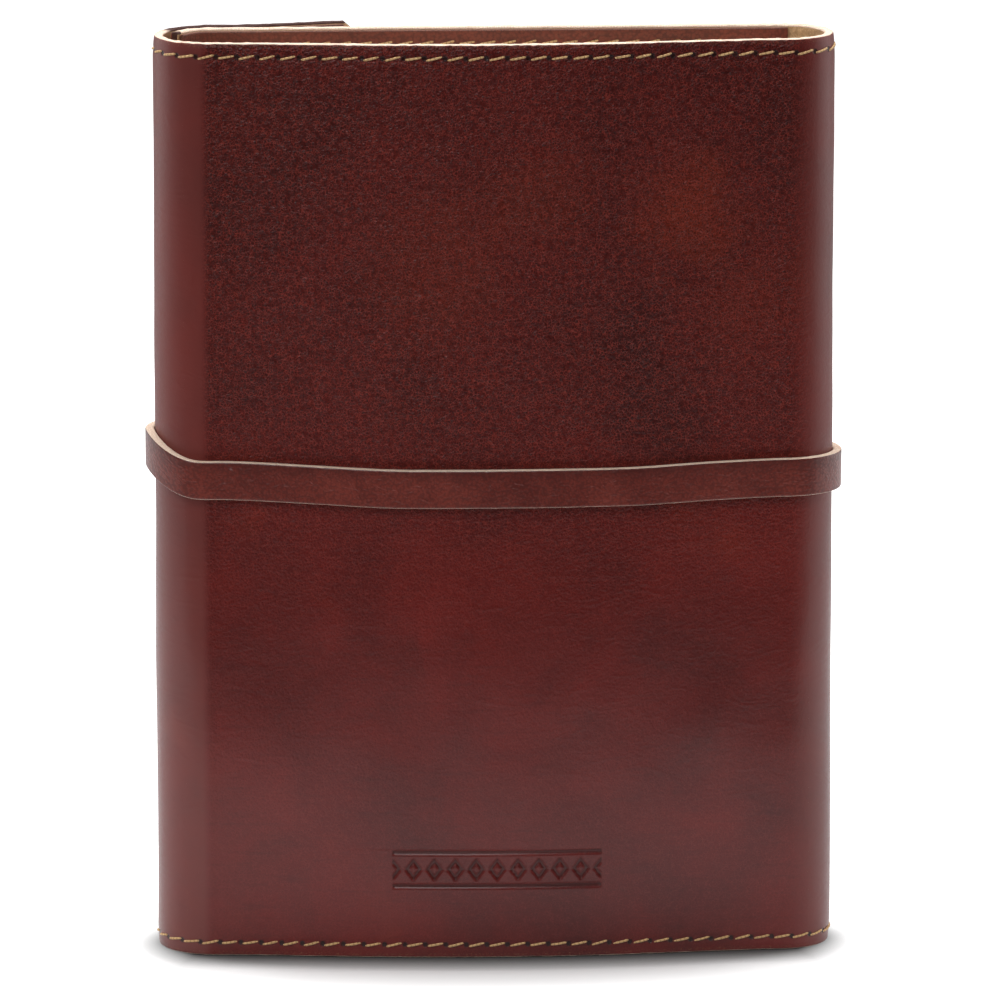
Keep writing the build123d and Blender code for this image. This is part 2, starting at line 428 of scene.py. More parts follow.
class Finish:
    """A procedural material, made one node at a time."""

    def __init__(self, name):
        self.material = bpy.data.materials.new(name)
        self.material.use_nodes = True
        self.tree = self.material.node_tree
        self.surface = self.tree.nodes["Principled BSDF"]

    def node(self, kind, settings=None, inputs=None):
        made = self.tree.nodes.new(kind)
        for name, value in (settings or {}).items():
            if name == "stops":
                ramp = made.color_ramp.elements
                while len(ramp) < len(value):
                    ramp.new(0.5)
                for stop, (place, colour) in zip(ramp, value):
                    stop.position, stop.color = place, (*colour, 1)
            else:
                setattr(made, name, value)
        self.feed(made, inputs or {})
        return made

    def feed(self, made, inputs):
        for name, value in inputs.items():
            socket = made.inputs[name]
            if isinstance(value, Amount):
                value = value.socket
            if isinstance(value, bpy.types.NodeSocket):
                self.tree.links.new(value, socket)
            elif isinstance(value, tuple) and len(value) == 3 and socket.type == "RGBA":
                socket.default_value = (*value, 1)
            else:
                socket.default_value = value

    def number(self, kind, settings=None, inputs=None, output=0):
        return Amount(self, self.node(kind, settings, inputs).outputs[output])

    def flat_place(self, stretch=(1000, 1000)):
        """The place on the flat sheet, in millimetres."""
        flat = self.node("ShaderNodeUVMap", {"uv_map": "hide"}).outputs["UV"]
        return self.node(
            "ShaderNodeMapping", {"vector_type": "POINT"}, {"Vector": flat, "Scale": (*stretch, 1)}
        ).outputs[0]

    def own_place(self, stretch=(1000, 1000, 1000)):
        """The place in the room at rest, in millimetres."""
        place = self.node("ShaderNodeTexCoord").outputs["Object"]
        return self.node(
            "ShaderNodeMapping", {"vector_type": "POINT"}, {"Vector": place, "Scale": stretch}
        ).outputs[0]

    def clouds(self, place, size, detail=3, rough=0.5, twist=0.0, kind="FBM"):
        """Noise whose larger lumps are about one size across, in millimetres."""
        return self.number(
            "ShaderNodeTexNoise",
            {"noise_type": kind},
            {"Vector": place, "Scale": 1 / size, "Detail": detail, "Roughness": rough, "Distortion": twist},
        )

    def warp(self, place, size, reach):
        """The same places, each moved up to about half a reach by noise."""
        drift = self.node("ShaderNodeTexNoise", {}, {"Vector": place, "Scale": 1 / size, "Detail": 2.0})
        level = self.node("ShaderNodeVectorMath", {"operation": "SUBTRACT"}, {0: drift.outputs["Color"]})
        level.inputs[1].default_value = (0.5, 0.5, 0.5)
        inputs = {0: level.outputs[0], "Scale": reach}
        moved = self.node("ShaderNodeVectorMath", {"operation": "SCALE"}, inputs)
        inputs = {0: place, 1: moved.outputs[0]}
        return self.node("ShaderNodeVectorMath", {"operation": "ADD"}, inputs).outputs[0]

    def cells(self, place, size, feature="F1", shake=1.0):
        return self.number(
            "ShaderNodeTexVoronoi",
            {"feature": feature},
            {"Vector": place, "Scale": 1 / size, "Randomness": shake},
        )

    def blend(self, share, first, second):
        mix = self.node("ShaderNodeMix", {"data_type": "RGBA"}, {0: share, 6: first, 7: second})
        return mix.outputs[2]

    def relief(self, height_mm, depth_mm, under=None):
        """Bump from a height between 0 and 1 that stands for a depth in millimetres."""
        inputs = {"Height": height_mm, "Distance": depth_mm / 1000, "Strength": 1.0}
        if under is not None:
            inputs["Normal"] = under
        return self.node("ShaderNodeBump", {}, inputs).outputs[0]

    def finish(self, **inputs):
        names = {name.replace("_", " "): value for name, value in inputs.items()}
        self.feed(self.surface, names)
        return self.material


def clamp01(amount):
    return amount.fade(0.0, 1.0)


stitch_pitch = 0.005
rule_x, rule_z, rule_gap = 0.0255, 0.0222, 0.0042
hide_dark = (0.094, 0.0042, 0.0030)
hide_red = (0.190, 0.0092, 0.0056)
hide_glow = (0.34, 0.034, 0.009)
hide_black = (0.020, 0.0032, 0.0028)


def grain_side():
    """The dyed and polished face: pores and painted highlight glints on the flat panels, smooth round the
    bends with a painted paler sheen, and glossier towards the foot. Places are in millimetres along and
    up the flat sheet."""
    look = Finish("polished_mahogany")
    flat = look.flat_place()
    parts = look.node("ShaderNodeSeparateXYZ", {}, {0: flat})
    along, up = Amount(look, parts.outputs[0]), Amount(look, parts.outputs[1])
    first, last = fold_start * 1000, spine_start * 1000
    panel = along.fade(first - 3.4, first - 0.6) * (1 - along.fade(last, last + 9))
    beyond = spine_end * 1000
    curl = lip_start * 1000
    panel = panel + along.fade(beyond - 2, beyond + 2) * (1 - along.fade(curl - 2, curl + 2))
    panel = panel + (1 - along.fade(fold_end * 1000 - 2, fold_end * 1000 + 2))
    upper = up.fade(0.30 * height * 1000, 0.62 * height * 1000)
    shade = look.clouds(flat, 46, 4, 0.55, 0.6)
    patch = look.clouds(flat, 21, 5, 0.6, 0.9)
    tone = look.blend((shade * 0.65 + patch * 0.35).fade(0.30, 0.72), hide_dark, hide_red)
    glow = look.clouds(flat, 34, 3, 0.55, 0.4).fade(0.58, 0.82) * 0.40
    tone = look.blend(glow, tone, hide_glow)
    burn = look.clouds(look.flat_place((900, 1100)), 27, 4, 0.6, 1.2).fade(0.58, 0.82) * 0.32
    tone = look.blend(burn, tone, hide_black)
    # soft lighter orange places, which are painted highlights, and soft darker places, each (along, up,
    # reach, strength)
    for colour, spots_at in (
        (hide_glow, ((45, 185, 19, 0.80), (-14, 171, 28, 0.34), (9, 188, 22, 0.34), (62, 163, 22, 0.30))),
        (hide_black, ((41, 138, 21, 0.30), (34, 152, 13, 0.22), (-42, 196, 30, 0.16), (72, 196, 14, 0.2))),
    ):
        for x, z, reach, strength in spots_at:
            aside, above = along - x, up - z
            gap = aside.sum("SQRT", aside * aside + above * above) + (patch - 0.5) * 30
            tone = look.blend((1 - gap.fade(reach * 0.1, reach)) * strength, tone, colour)
    shaken = look.warp(flat, 1.0, 0.85)
    net = look.cells(shaken, 0.70, "DISTANCE_TO_EDGE")
    pebble = look.cells(shaken, 0.70)
    broken = look.clouds(flat, 1.7, 3, 0.6).fade(0.34, 0.56)
    creases_fine = look.clouds(look.flat_place((1000, 1150)), 1.9, 6, 0.62, 1.6, "RIDGED_MULTIFRACTAL")
    creases_long = look.clouds(look.flat_place((700, 1400)), 9.0, 5, 0.6, 2.4, "RIDGED_MULTIFRACTAL")
    bend_mask = 0.10 + panel * 0.90
    wrinkle = (0.34 + upper * 0.66) * bend_mask
    glint_strokes = (1 - net.fade(0.0, 0.115)) * broken
    specks = look.clouds(flat, 0.42, 2, 0.5).fade(0.46, 0.66)
    tone = look.blend((upper * 0.50 + specks * 0.42) * wrinkle, tone, hide_black)
    # light pink glints along the grain's cell edges: painted highlights
    tone = look.blend(glint_strokes * 0.50 * wrinkle, tone, (0.36, 0.060, 0.042))
    tone = look.blend(0.17 * (1 - upper) * bend_mask, tone, hide_black)
    # lighter pink lines along long wrinkles: painted highlights
    long_wrinkle_glints = look.clouds(look.flat_place((420, 700)), 4.5, 5, 0.6, 2.8, "RIDGED_MULTIFRACTAL")
    long_wrinkle_glints = long_wrinkle_glints.fade(0.60, 0.95)
    tone = look.blend(long_wrinkle_glints * 0.30 * wrinkle, tone, (0.34, 0.070, 0.050))
    streaks = look.clouds(look.flat_place((160, 1500)), 2.2, 3, 0.5).fade(0.5, 0.75)
    tone = look.blend(streaks * 0.16 * (1 - upper) * bend_mask, tone, hide_black)
    # the bends are painted a paler pinkish grey: a painted sheen
    tone = look.blend((1 - panel) * 0.55, tone, (0.165, 0.046, 0.039))
    mark_up = up - rule_z * 1000
    mark_up = mark_up.sum("ABSOLUTE", mark_up)
    from_rule = mark_up - rule_gap * 1000
    rule = 1 - from_rule.sum("ABSOLUTE", from_rule).fade(0.2, 0.6)
    lozenge = along.saw(5.1) / 1.9 + mark_up / 2.6 - 0.82
    marks = rule + (1 - lozenge.sum("ABSOLUTE", lozenge).fade(0.12, 0.34)) * (mark_up < 3.4)
    marks = marks * (along.sum("ABSOLUTE", along) < rule_x * 1000)
    # the tooled rules and lozenges are darkened: painted shade in the tooled grooves
    tone = look.blend(clamp01(marks) * 0.55, tone, hide_black)
    hole_along = (along + stitch_pitch * 500).saw(stitch_pitch * 1000)
    hole = None
    for row in rows:
        rise = up - row * 1000
        near = (hole_along * hole_along + rise * rise).sum("SQRT", hole_along * hole_along + rise * rise)
        spot = 1 - near.fade(0.35, 0.85)
        hole = spot if hole is None else hole + spot
    # the awl holes are painted near black: painted shade in them
    tone = look.blend(hole * 0.85, tone, (0.004, 0.0015, 0.001))
    rub = look.clouds(flat, 0.5, 4, 0.7)
    edge_wear = (up < 1.1) * (rub.fade(0.5, 0.7)) + (up > height * 1000 - 1.1) * (rub.fade(0.5, 0.7))
    tone = look.blend(edge_wear * 0.5, tone, (0.32, 0.14, 0.07))
    rough = 0.29 + pebble * 0.10 + shade * 0.08 + (1 - panel) * 0.05
    bump = look.relief(creases_long, 0.10)
    bump = look.relief(creases_fine * wrinkle, 0.10, bump)
    bump = look.relief((1 - pebble.fade(0.0, 0.85)) * wrinkle, 0.13, bump)
    bump = look.relief(1 - clamp01(hole), 0.35, bump)
    look.feed(look.surface, {"Coat Roughness": 0.2, "Specular IOR Level": 0.28})
    polish = 0.06 + (1 - upper) * 0.5
    return look.finish(Base_Color=tone, Roughness=rough, Coat_Weight=polish, Normal=bump)


def flesh_side():
    look = Finish("flesh_side")
    flat = look.flat_place()
    fibre = look.clouds(flat, 1.1, 7, 0.72, 0.8)
    cloud = look.clouds(flat, 18, 3)
    tone = look.blend(fibre.fade(0.35, 0.7), (0.45, 0.27, 0.13), (0.72, 0.48, 0.27))
    tone = look.blend(cloud.fade(0.45, 0.8) * 0.4, tone, (0.28, 0.15, 0.08))
    bump = look.relief(fibre, 0.12)
    return look.finish(Base_Color=tone, Roughness=0.85 + fibre * 0.1, Normal=bump)


def cut_edge(name, dark_from):
    """The raw edge of the hide. Past some place along it the edge is coloured to match the grain, and so is
    its end at the lip.
    """
    look = Finish(name)
    flat = look.flat_place()
    fibre = look.clouds(flat, 0.35, 6, 0.75)
    stain = look.clouds(flat, 7.0, 4, 0.6)
    tone = look.blend(fibre.fade(0.3, 0.7), (0.68, 0.46, 0.32), (0.95, 0.80, 0.67))
    tone = look.blend(stain.fade(0.55, 0.8) * 0.4, tone, (0.50, 0.25, 0.14))
    along = Amount(look, look.node("ShaderNodeSeparateXYZ", {}, {0: flat}).outputs[0])
    # past that place, round the fold and over the flap, and at the lip's end, the edge is darkened
    dyed = 1 - along.fade(dark_from * 1000 - 4, dark_from * 1000)
    dyed = dyed + along.fade(lip_end * 1000 - 2.4, lip_end * 1000 - 1.6)
    tone = look.blend(dyed, tone, (0.055, 0.016, 0.011))
    bump = look.relief(fibre, 0.15)
    return look.finish(Base_Color=tone, Roughness=0.8 + fibre * 0.1, Normal=bump)


flap_dark_from = fold_start - 0.62 * math.pi * fold_r
hide_finish = [grain_side(), flesh_side(), cut_edge("raw_cut_edge", flap_dark_from)]


def dress(piece, finishes):
    for finish in finishes:
        piece.data.materials.append(finish)
    return piece


def tooling(along, z):
    """Depth of the blind-tooled mark near the foot of the back: two rules with a row of lozenges between."""
    if abs(along) > rule_x or abs(z - rule_z) > rule_gap + 0.001:
        return 0.0
    from_rule = abs(abs(z - rule_z) - rule_gap)
    depth = ease(0.00055 - from_rule, 0.0, 0.0003)
    inner = abs((along + 0.00255) % 0.0051 - 0.00255) / 0.0019 + abs(z - rule_z) / 0.0026
    ring = ease(0.34 - abs(inner - 0.82), 0.0, 0.16)
    return 0.00034 * max(depth, ring)


def back_point(along, depth, z):
    spot = hide_point(along, depth, z)
    if depth < hide_t / 2:
        spot.y += tooling(along, z)
    return spot


row_lines = [row + step for row in rows for step in (-0.0016, -0.0009, -0.0004, 0, 0.0004, 0.0009, 0.0016)]
plain_lines = grid_lines(0.006, height - 0.006, 0.003)
tool_lines = grid_lines(rule_z - 0.0056, rule_z + 0.0056, 0.00035)
plain_profile = edge_profile(hide_t, height, edge_round, sorted(row_lines + plain_lines))
tool_profile = edge_profile(hide_t, height, edge_round, sorted(set(row_lines + plain_lines + tool_lines)))

back_stations = (
    grid_lines(fold_start + overlap, -0.027, 0.0015)[:-1]
    + grid_lines(-0.027, 0.027, 0.00036)
    + grid_lines(0.027, spine_start - overlap, 0.0015)[1:]
)
back_hide = dress(wall("back_cover_hide", back_stations, tool_profile, back_point), hide_finish)
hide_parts("back_cover_panel")
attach(back_hide, "back_cover")

front_stations = grid_lines(spine_end + overlap, lip_start, 0.003)[:-1]
front_stations += grid_lines(lip_start, lip_end - 0.0011, 0.0007)[:-1]
front_stations += [lip_end - 0.0011 * share for share in (1, 0.75, 0.5, 0.3, 0.15, 0.05, 0)]
front_hide = wall("front_cover_hide", front_stations, plain_profile, hide_point, ends=(0, 0.0009))
dress(front_hide, hide_finish)
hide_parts("front_cover_panel", "front_cover_lip")
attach(front_hide, "front_cover")

flap_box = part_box("flap_panel")
flap_tip = flap_box[1].x
flap_corner = -0.036
flap_bulge = flap_tip - flap_corner
flap_arc_r = (half**2 + flap_bulge**2) / (2 * flap_bulge)


def flap_edge(z):
    """How far across the front cover the flap reaches at some height."""
    return flap_tip - flap_arc_r + math.sqrt(flap_arc_r**2 - (z - half) ** 2)


flap_root = fold_start + overlap


def flap_point(share, depth, z):
    """A point in the flap, by the share of the way from its root to its curved edge."""
    reach = flap_edge(min(max(z, 0.0), height))
    x = flap_root + (reach - flap_root) * share
    return hide_point(fold_start + fold_end - x, depth, z)


def flap_wall(name, profile, shares, rounding, point=flap_point):
    """The flap or its lining: like other sheets, but its stations are shares of its width."""
    piece = wall(name, shares, profile, point, ends=(0, rounding), soft=profile[0][0] or 0.0005)
    layout = piece.data.uv_layers["hide"]
    for loop, spot in zip(piece.data.loops, layout.data):
        place = piece.data.vertices[loop.vertex_index].co
        spot.uv = (fold_start + fold_end - place.x, spot.uv[1])
    return piece


flap_shares = [share / 34 for share in range(34)] + [0.982, 0.99, 0.994, 0.997, 0.999, 1.0]
flap_hide = dress(flap_wall("flap_hide", plain_profile, flap_shares, 0.009), hide_finish)
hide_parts("flap_panel")
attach(flap_hide, "flap")


def bend_lengths(prefix, bodies, start, radius, way, back_over, far_over):
    """The lengths of one bend: (name, two bodies, from, to), each meeting the next in mid-strip."""
    strip = math.pi * radius / 3
    cuts = [start - way * back_over] + [start + way * strip * (k + 0.5) for k in range(3)]
    cuts.append(start + way * (3 * strip + far_over))
    return [(f"{prefix}_{k + 1}", bodies[k], bodies[k + 1], cuts[k], cuts[k + 1]) for k in range(4)]


spine_bodies = ("back_cover", "spine_1", "spine_2", "spine_3", "front_cover")
fold_bodies = ("back_cover", "fold_1", "fold_2", "fold_3", "flap")
lengths = bend_lengths("spine", spine_bodies, spine_start, spine_r, 1, overlap, overlap)
lengths += bend_lengths("fold", fold_bodies, fold_start, fold_r, -1, overlap, overlap)


def bend(piece, first, second, begin, end):
    """Bakes a piece's transform into its mesh. It is not blended across the crease, and first and second are
    not used.
    """
    start, stop = (hide_point(place, hide_t / 2, half) for place in (begin, end))
    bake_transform(piece)


for name, first, second, begin, end in lengths:
    stations = grid_lines(min(begin, end), max(begin, end), 0.00045)
    piece = dress(wall(f"{name}_hide", stations, plain_profile, hide_point), hide_finish)
    number = int(name[-1])
    if number < 4:
        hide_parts(f"{name[:-2]}_strip_{number}")
    bend(piece, first, second, begin, end)

# ---------------------------------------------------------------------------------------------------
# Linings
# Thinner dark leather with dyed edges, sewn to the hide along the top and bottom. The one inside the front
# cover lies flat. The one inside the back cover stands off the hide to hold the refill's board. The flap's
# is glued down to its curved edge.
# ---------------------------------------------------------------------------------------------------
lining_t = 0.0013
lining_round = 0.0003


def lining_leather():
    look = Finish("lining_leather")
    flat = look.flat_place()
    shade = look.clouds(flat, 30, 4, 0.55, 0.5)
    pores = look.cells(flat, 0.75, "F1")
    fold_lines = look.clouds(flat, 5.0, 5, 0.6, 1.4, "RIDGED_MULTIFRACTAL")
    tone = look.blend(shade.fade(0.2, 0.85), (0.150, 0.032, 0.018), (0.26, 0.060, 0.033))
    tone = look.blend(pores.fade(0.3, 0.8) * 0.4, tone, (0.018, 0.008, 0.006))
    bump = look.relief(fold_lines, 0.06)
    bump = look.relief(1 - pores.fade(0, 0.9), 0.05, bump)
    return look.finish(Base_Color=tone, Roughness=0.46 + pores * 0.12, Normal=bump)


def dyed_edge():
    look = Finish("dyed_edge")
    flat = look.flat_place()
    fibre = look.clouds(flat, 0.4, 5, 0.7)
    tone = look.blend(fibre.fade(0.3, 0.7), (0.06, 0.018, 0.011), (0.21, 0.075, 0.045))
    return look.finish(Base_Color=tone, Roughness=0.6 + fibre * 0.2, Normal=look.relief(fibre, 0.1))


lining_finish = [lining_leather(), lining_leather(), dyed_edge()]
pocket_bulge = 0.0011
pocket_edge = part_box("back_pocket_lining")[1].x


def under_hide(point, start_depth, bulge=None):
    """The same sheet a little deeper: what is glued or sewn to the hide's flesh side."""

    def deeper(along, depth, z):
        spot = point(along, start_depth + depth, z)
        if bulge:
            spot += bulge(along, z)
        return spot

    return deeper


def pocket_swell(along, z):
    """How far the back lining stands off the hide, for the board behind it."""
    share = ease(min(z, height - z), 0.0045, 0.0078) * ease(along - fold_start, 0.0015, 0.0062)
    return Vector((0, pocket_bulge * share, 0))


lining_profile = edge_profile(lining_t, height - 0.0006, lining_round, sorted(row_lines + plain_lines))
back_lining = wall(
    "back_pocket_lining",
    grid_lines(fold_start + 0.0008, pocket_edge, 0.002),
    lining_profile,
    under_hide(hide_point, hide_t, pocket_swell),
    ends=(0.0006, 0.0006),
)
dress(back_lining, lining_finish)
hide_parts("back_pocket_lining")
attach(back_lining, "back_cover")

front_lining = wall(
    "front_pocket_lining",
    grid_lines(spine_end - 0.0018, lip_start, 0.0025)[:-1] + grid_lines(lip_start, lip_end - 0.0004, 0.0008),
    lining_profile,
    under_hide(hide_point, hide_t),
    ends=(0.0006, 0.0006),
)
dress(front_lining, lining_finish)
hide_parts("front_pocket_lining")
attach(front_lining, "front_cover")


def flap_lining_point(share, depth, z):
    inset = 0.0008
    reach = flap_edge(min(max(z, 0.0), height)) - inset
    x = flap_root + (reach - flap_root) * share
    return hide_point(fold_start + fold_end - x, hide_t + depth, z)


flap_lining = flap_wall(
    "flap_lining",
    edge_profile(0.0011, height - 0.0006, lining_round, plain_lines),
    flap_shares,
    0.006,
    flap_lining_point,
)
dress(flap_lining, lining_finish)
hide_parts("flap_lining")
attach(flap_lining, "flap")

# ---------------------------------------------------------------------------------------------------
# Stitching
# Thick waxed thread in saddle stitch, five to the inch or so, in a row near the top and bottom edges and
# round the flap. Each stitch leans up to the right and dives into the awl holes at its ends.
# ---------------------------------------------------------------------------------------------------
def waxed_thread():
    look = Finish("waxed_thread")
    twist = Amount(look, look.node("ShaderNodeAttribute", {"attribute_name": "lay"}).outputs["Fac"])
    strands = (twist.saw(1.0) * 2).fade(0.0, 0.55)
    fuzz = look.clouds(look.own_place(), 0.3, 4)
    tone = look.blend(strands, (0.42, 0.235, 0.095), (0.68, 0.42, 0.19))
    tone = look.blend(fuzz.fade(0.5, 0.75) * 0.3, tone, (0.76, 0.56, 0.34))
    bump = look.relief(strands, 0.05)
    return look.finish(Base_Color=tone, Roughness=0.55 + fuzz * 0.15, Normal=bump)


thread_finish = waxed_thread()


def stitch_tree():
    """Geometry nodes that lay one stitch on every point, along it and standing out from it."""
    tree = bpy.data.node_groups.new("stitches", "GeometryNodeTree")
    face = tree.interface
    face.new_socket("Geometry", in_out="INPUT", socket_type="NodeSocketGeometry")
    sizes = {"Length": 0.0045, "Thread": 0.00058, "Rise": 0.00042, "Dive": 0.0006, "Lean": 0.2}
    for name, value in sizes.items():
        face.new_socket(name, in_out="INPUT", socket_type="NodeSocketFloat").default_value = value
    face.new_socket("Seed", in_out="INPUT", socket_type="NodeSocketInt").default_value = 7
    face.new_socket("Finish", in_out="INPUT", socket_type="NodeSocketMaterial")
    face.new_socket("Geometry", in_out="OUTPUT", socket_type="NodeSocketGeometry")
    given = tree.nodes.new("NodeGroupInput")

    def put(kind, settings=None, inputs=None):
        made = tree.nodes.new(kind)
        for name, value in (settings or {}).items():
            setattr(made, name, value)
        for name, value in (inputs or {}).items():
            if isinstance(value, bpy.types.NodeSocket):
                tree.links.new(value, made.inputs[name])
            else:
                made.inputs[name].default_value = value
        return made

    def maths(operation, first, second):
        return put("ShaderNodeMath", {"operation": operation}, {0: first, 1: second}).outputs[0]

    half_length = maths("MULTIPLY", given.outputs["Length"], 0.5)
    dive = maths("MULTIPLY", given.outputs["Dive"], -1.0)
    knee = maths("MULTIPLY", given.outputs["Length"], 0.42)
    rise = given.outputs["Rise"]
    left = put("ShaderNodeCombineXYZ", {}, {"X": maths("MULTIPLY", half_length, -1.0), "Z": dive})
    left_knee = put("ShaderNodeCombineXYZ", {}, {"X": maths("MULTIPLY", knee, -1.0), "Z": rise})
    right = put("ShaderNodeCombineXYZ", {}, {"X": half_length, "Z": dive})
    right_knee = put("ShaderNodeCombineXYZ", {}, {"X": knee, "Z": rise})
    arch = put(
        "GeometryNodeCurvePrimitiveBezierSegment",
        {},
        {
            "Resolution": 5,
            "Start": left.outputs[0],
            "Start Handle": left_knee.outputs[0],
            "End Handle": right_knee.outputs[0],
            "End": right.outputs[0],
        },
    )
    lay = maths("MULTIPLY", put("GeometryNodeSplineParameter").outputs["Factor"], 6.0)
    marked = put(
        "GeometryNodeStoreNamedAttribute",
        {"data_type": "FLOAT", "domain": "POINT"},
        {"Geometry": arch.outputs[0], "Name": "lay", "Value": lay},
    )
    thread_r = maths("MULTIPLY", given.outputs["Thread"], 0.5)
    ring = put("GeometryNodeCurvePrimitiveCircle", {}, {"Resolution": 6, "Radius": thread_r})
    stitch = put(
        "GeometryNodeCurveToMesh",
        {},
        {"Curve": marked.outputs[0], "Profile Curve": ring.outputs[0], "Fill Caps": True},
    )
    lean = put("ShaderNodeCombineXYZ", {}, {"Z": given.outputs["Lean"]})
    leaning = put("GeometryNodeTransform", {}, {"Geometry": stitch.outputs[0], "Rotation": lean.outputs[0]})
    outward, along = (
        put("GeometryNodeInputNamedAttribute", {"data_type": "FLOAT_VECTOR"}, {"Name": name}).outputs[0]
        for name in ("outward", "along")
    )
    facing = put(
        "FunctionNodeAxesToRotation",
        {"primary_axis": "Z", "secondary_axis": "X"},
        {"Primary Axis": outward, "Secondary Axis": along},
    )
    placed = put(
        "GeometryNodeInstanceOnPoints",
        {},
        {"Points": given.outputs["Geometry"], "Instance": leaning.outputs[0], "Rotation": facing.outputs[0]},
    )
    sway = put(
        "FunctionNodeRandomValue",
        {"data_type": "FLOAT_VECTOR"},
        {"Seed": given.outputs["Seed"]},
    )
    sway.inputs["Min"].default_value = (-0.03, -0.03, -0.07)
    sway.inputs["Max"].default_value = (0.03, 0.03, 0.07)
    swayed = put(
        "GeometryNodeRotateInstances", {}, {"Instances": placed.outputs[0], "Rotation": sway.outputs[0]}
    )
    real = put("GeometryNodeRealizeInstances", {}, {"Geometry": swayed.outputs[0]})
    smooth = put("GeometryNodeSetShadeSmooth", {}, {"Geometry": real.outputs[0]})
    set_finish = put(
        "GeometryNodeSetMaterial", {}, {"Geometry": smooth.outputs[0], "Material": given.outputs["Finish"]}
    )
    out = tree.nodes.new("NodeGroupOutput")
    tree.links.new(set_finish.outputs[0], out.inputs[0])
    return tree


stitches = stitch_tree()


def sew(name, points, seed=7, length=0.0045):
    """A row of stitches as one mesh. Each point is (place, along, outward)."""
    mesh = bpy.data.meshes.new(name)
    mesh.from_pydata([tuple(point[0]) for point in points], [], [])
    for key, number in (("along", 1), ("outward", 2)):
        attribute = mesh.attributes.new(key, "FLOAT_VECTOR", "POINT")
        attribute.data.foreach_set("vector", [c for point in points for c in point[number]])
    row = bpy.data.objects.new(name, mesh)
    bpy.context.scene.collection.objects.link(row)
    layer = row.modifiers.new("stitches", "NODES")
    layer.node_group = stitches
    sockets = {item.name: item.identifier for item in stitches.interface.items_tree if item.in_out == "INPUT"}
    layer[sockets["Finish"]] = thread_finish
    layer[sockets["Seed"]] = seed
    layer[sockets["Length"]] = length
    bpy.context.view_layer.update()
    made = bpy.data.meshes.new_from_object(row.evaluated_get(bpy.context.evaluated_depsgraph_get()))
    row.modifiers.clear()
    row.data = made
    made.name = name
    if not made.materials:
        made.materials.append(thread_finish)
    return row


thread_lift = 0.00002


def row_points(begin, end, depth, side, sink=0.0):
    """Places for the stitches of both rows between two places along the hide."""
    points = []
    low, high = min(begin, end), max(begin, end)
    first = math.ceil(low / stitch_pitch - 1e-6)
    for number in range(first, math.floor(high / stitch_pitch - 1e-6) + 1):
        along = number * stitch_pitch
        for row in (rows[0] + sink, rows[1] - sink):
            place = hide_point(along, depth, row)
            behind, ahead = (hide_point(along + step, depth, row) for step in (-0.0005, 0.0005))
            forward = (ahead - behind).normalized()
            away = hide_route(along)[1] * side
            points.append((place + away * thread_lift, forward * side, away))
    return points


stretches = [
    ("back_cover_thread", "back_cover", None, fold_start + overlap, spine_start - overlap),
    ("front_cover_thread", "front_cover", None, spine_end + overlap, lip_end - 0.004),
    ("flap_rows_thread", "flap", None, fold_end - overlap, fold_end - 0.029),
] + [(f"{name}_thread", first, second, begin, end) for name, first, second, begin, end in lengths]
for seed, (name, first, second, begin, end) in enumerate(stretches):
    points = row_points(begin, end, 0, 1)
    if name == "back_cover_thread":
        points += row_points(begin, end, hide_t + lining_t, -1)
    if name == "front_cover_thread":
        points += row_points(begin, lip_start, hide_t + lining_t, -1, 0.0005)
    if not points:
        continue
    row = sew(name, points, seed + 3)
    node = {
        "back_cover_thread": ("back_top_thread", "back_bottom_thread"),
        "front_cover_thread": ("front_top_thread", "front_bottom_thread"),
    }.get(name, ())
    if second and int(name.split("_")[1]) < 4:
        node = (f"{name.split('_')[0]}_thread_{name.split('_')[1]}",)
    if node:
        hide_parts(*node)
    if second:
        bend(row, first, second, begin, end)
    else:
        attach(row, first)

flap_points = []
arc_centre = Vector((flap_tip - flap_arc_r, 0, half))
row_r = flap_arc_r - row_inset
reach_angle = math.asin((half - row_inset) / row_r)
count = round(2 * reach_angle * row_r / stitch_pitch)
for number in range(count + 1):
    turn = -reach_angle + 2 * reach_angle * number / count
    x, z = arc_centre.x + row_r * math.cos(turn), half + row_r * math.sin(turn)
    spot = hide_point(fold_start + fold_end - x, 0, z)
    forward = Vector((-math.sin(turn), 0, math.cos(turn)))
    flap_points.append((spot + Vector((0, thread_lift, 0)), forward, Vector((0, 1, 0))))
flap_row = sew("flap_edge_thread", flap_points, 21)
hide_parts("flap_edge_thread")
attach(flap_row, "flap")

# ---------------------------------------------------------------------------------------------------
# Strap
# One strap of the same leather. Its root is sewn to the front cover, and it runs round the spine, over the
# back, round the fold and over the flap, then under a keeper. It climbs a little round the fold.
# ---------------------------------------------------------------------------------------------------
strap_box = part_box("strap_back_run")
strap_low, strap_wide = strap_box[0].z, strap_box[1].z - strap_box[0].z
strap_t = strap_box[1].y - strap_box[0].y
strap_lift = spine_near.y - strap_box[1].y
strap_end_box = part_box("strap_flap_run")
strap_tip = strap_end_box[1].x
strap_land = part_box("strap_front_run")[1].y + 0.0003
strap_step, strap_landing = 0.0172, 0.026
tip_r = strap_wide / 2
root_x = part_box("strap_front_run")[0].x
root_end = spine_end + spine_start - root_x


def strap_rise(along):
    """How much higher than level the strap runs."""
    quarter = fold_start - math.pi * fold_r / 2
    if along > spine_start:
        return 0.0025 * ease(root_end - along, 0.002, 0.022)
    if along > quarter:
        climb = 0.0013 + 0.0012 * ease(along, 0.025, spine_start) + 0.0017 * ease(-along, 0.02, -fold_start)
        return climb + 0.0055 * ease(fold_start - 0.003 - along, 0, fold_start - 0.003 - quarter)
    return 0.0085 * ease(along, quarter - 0.110, quarter)


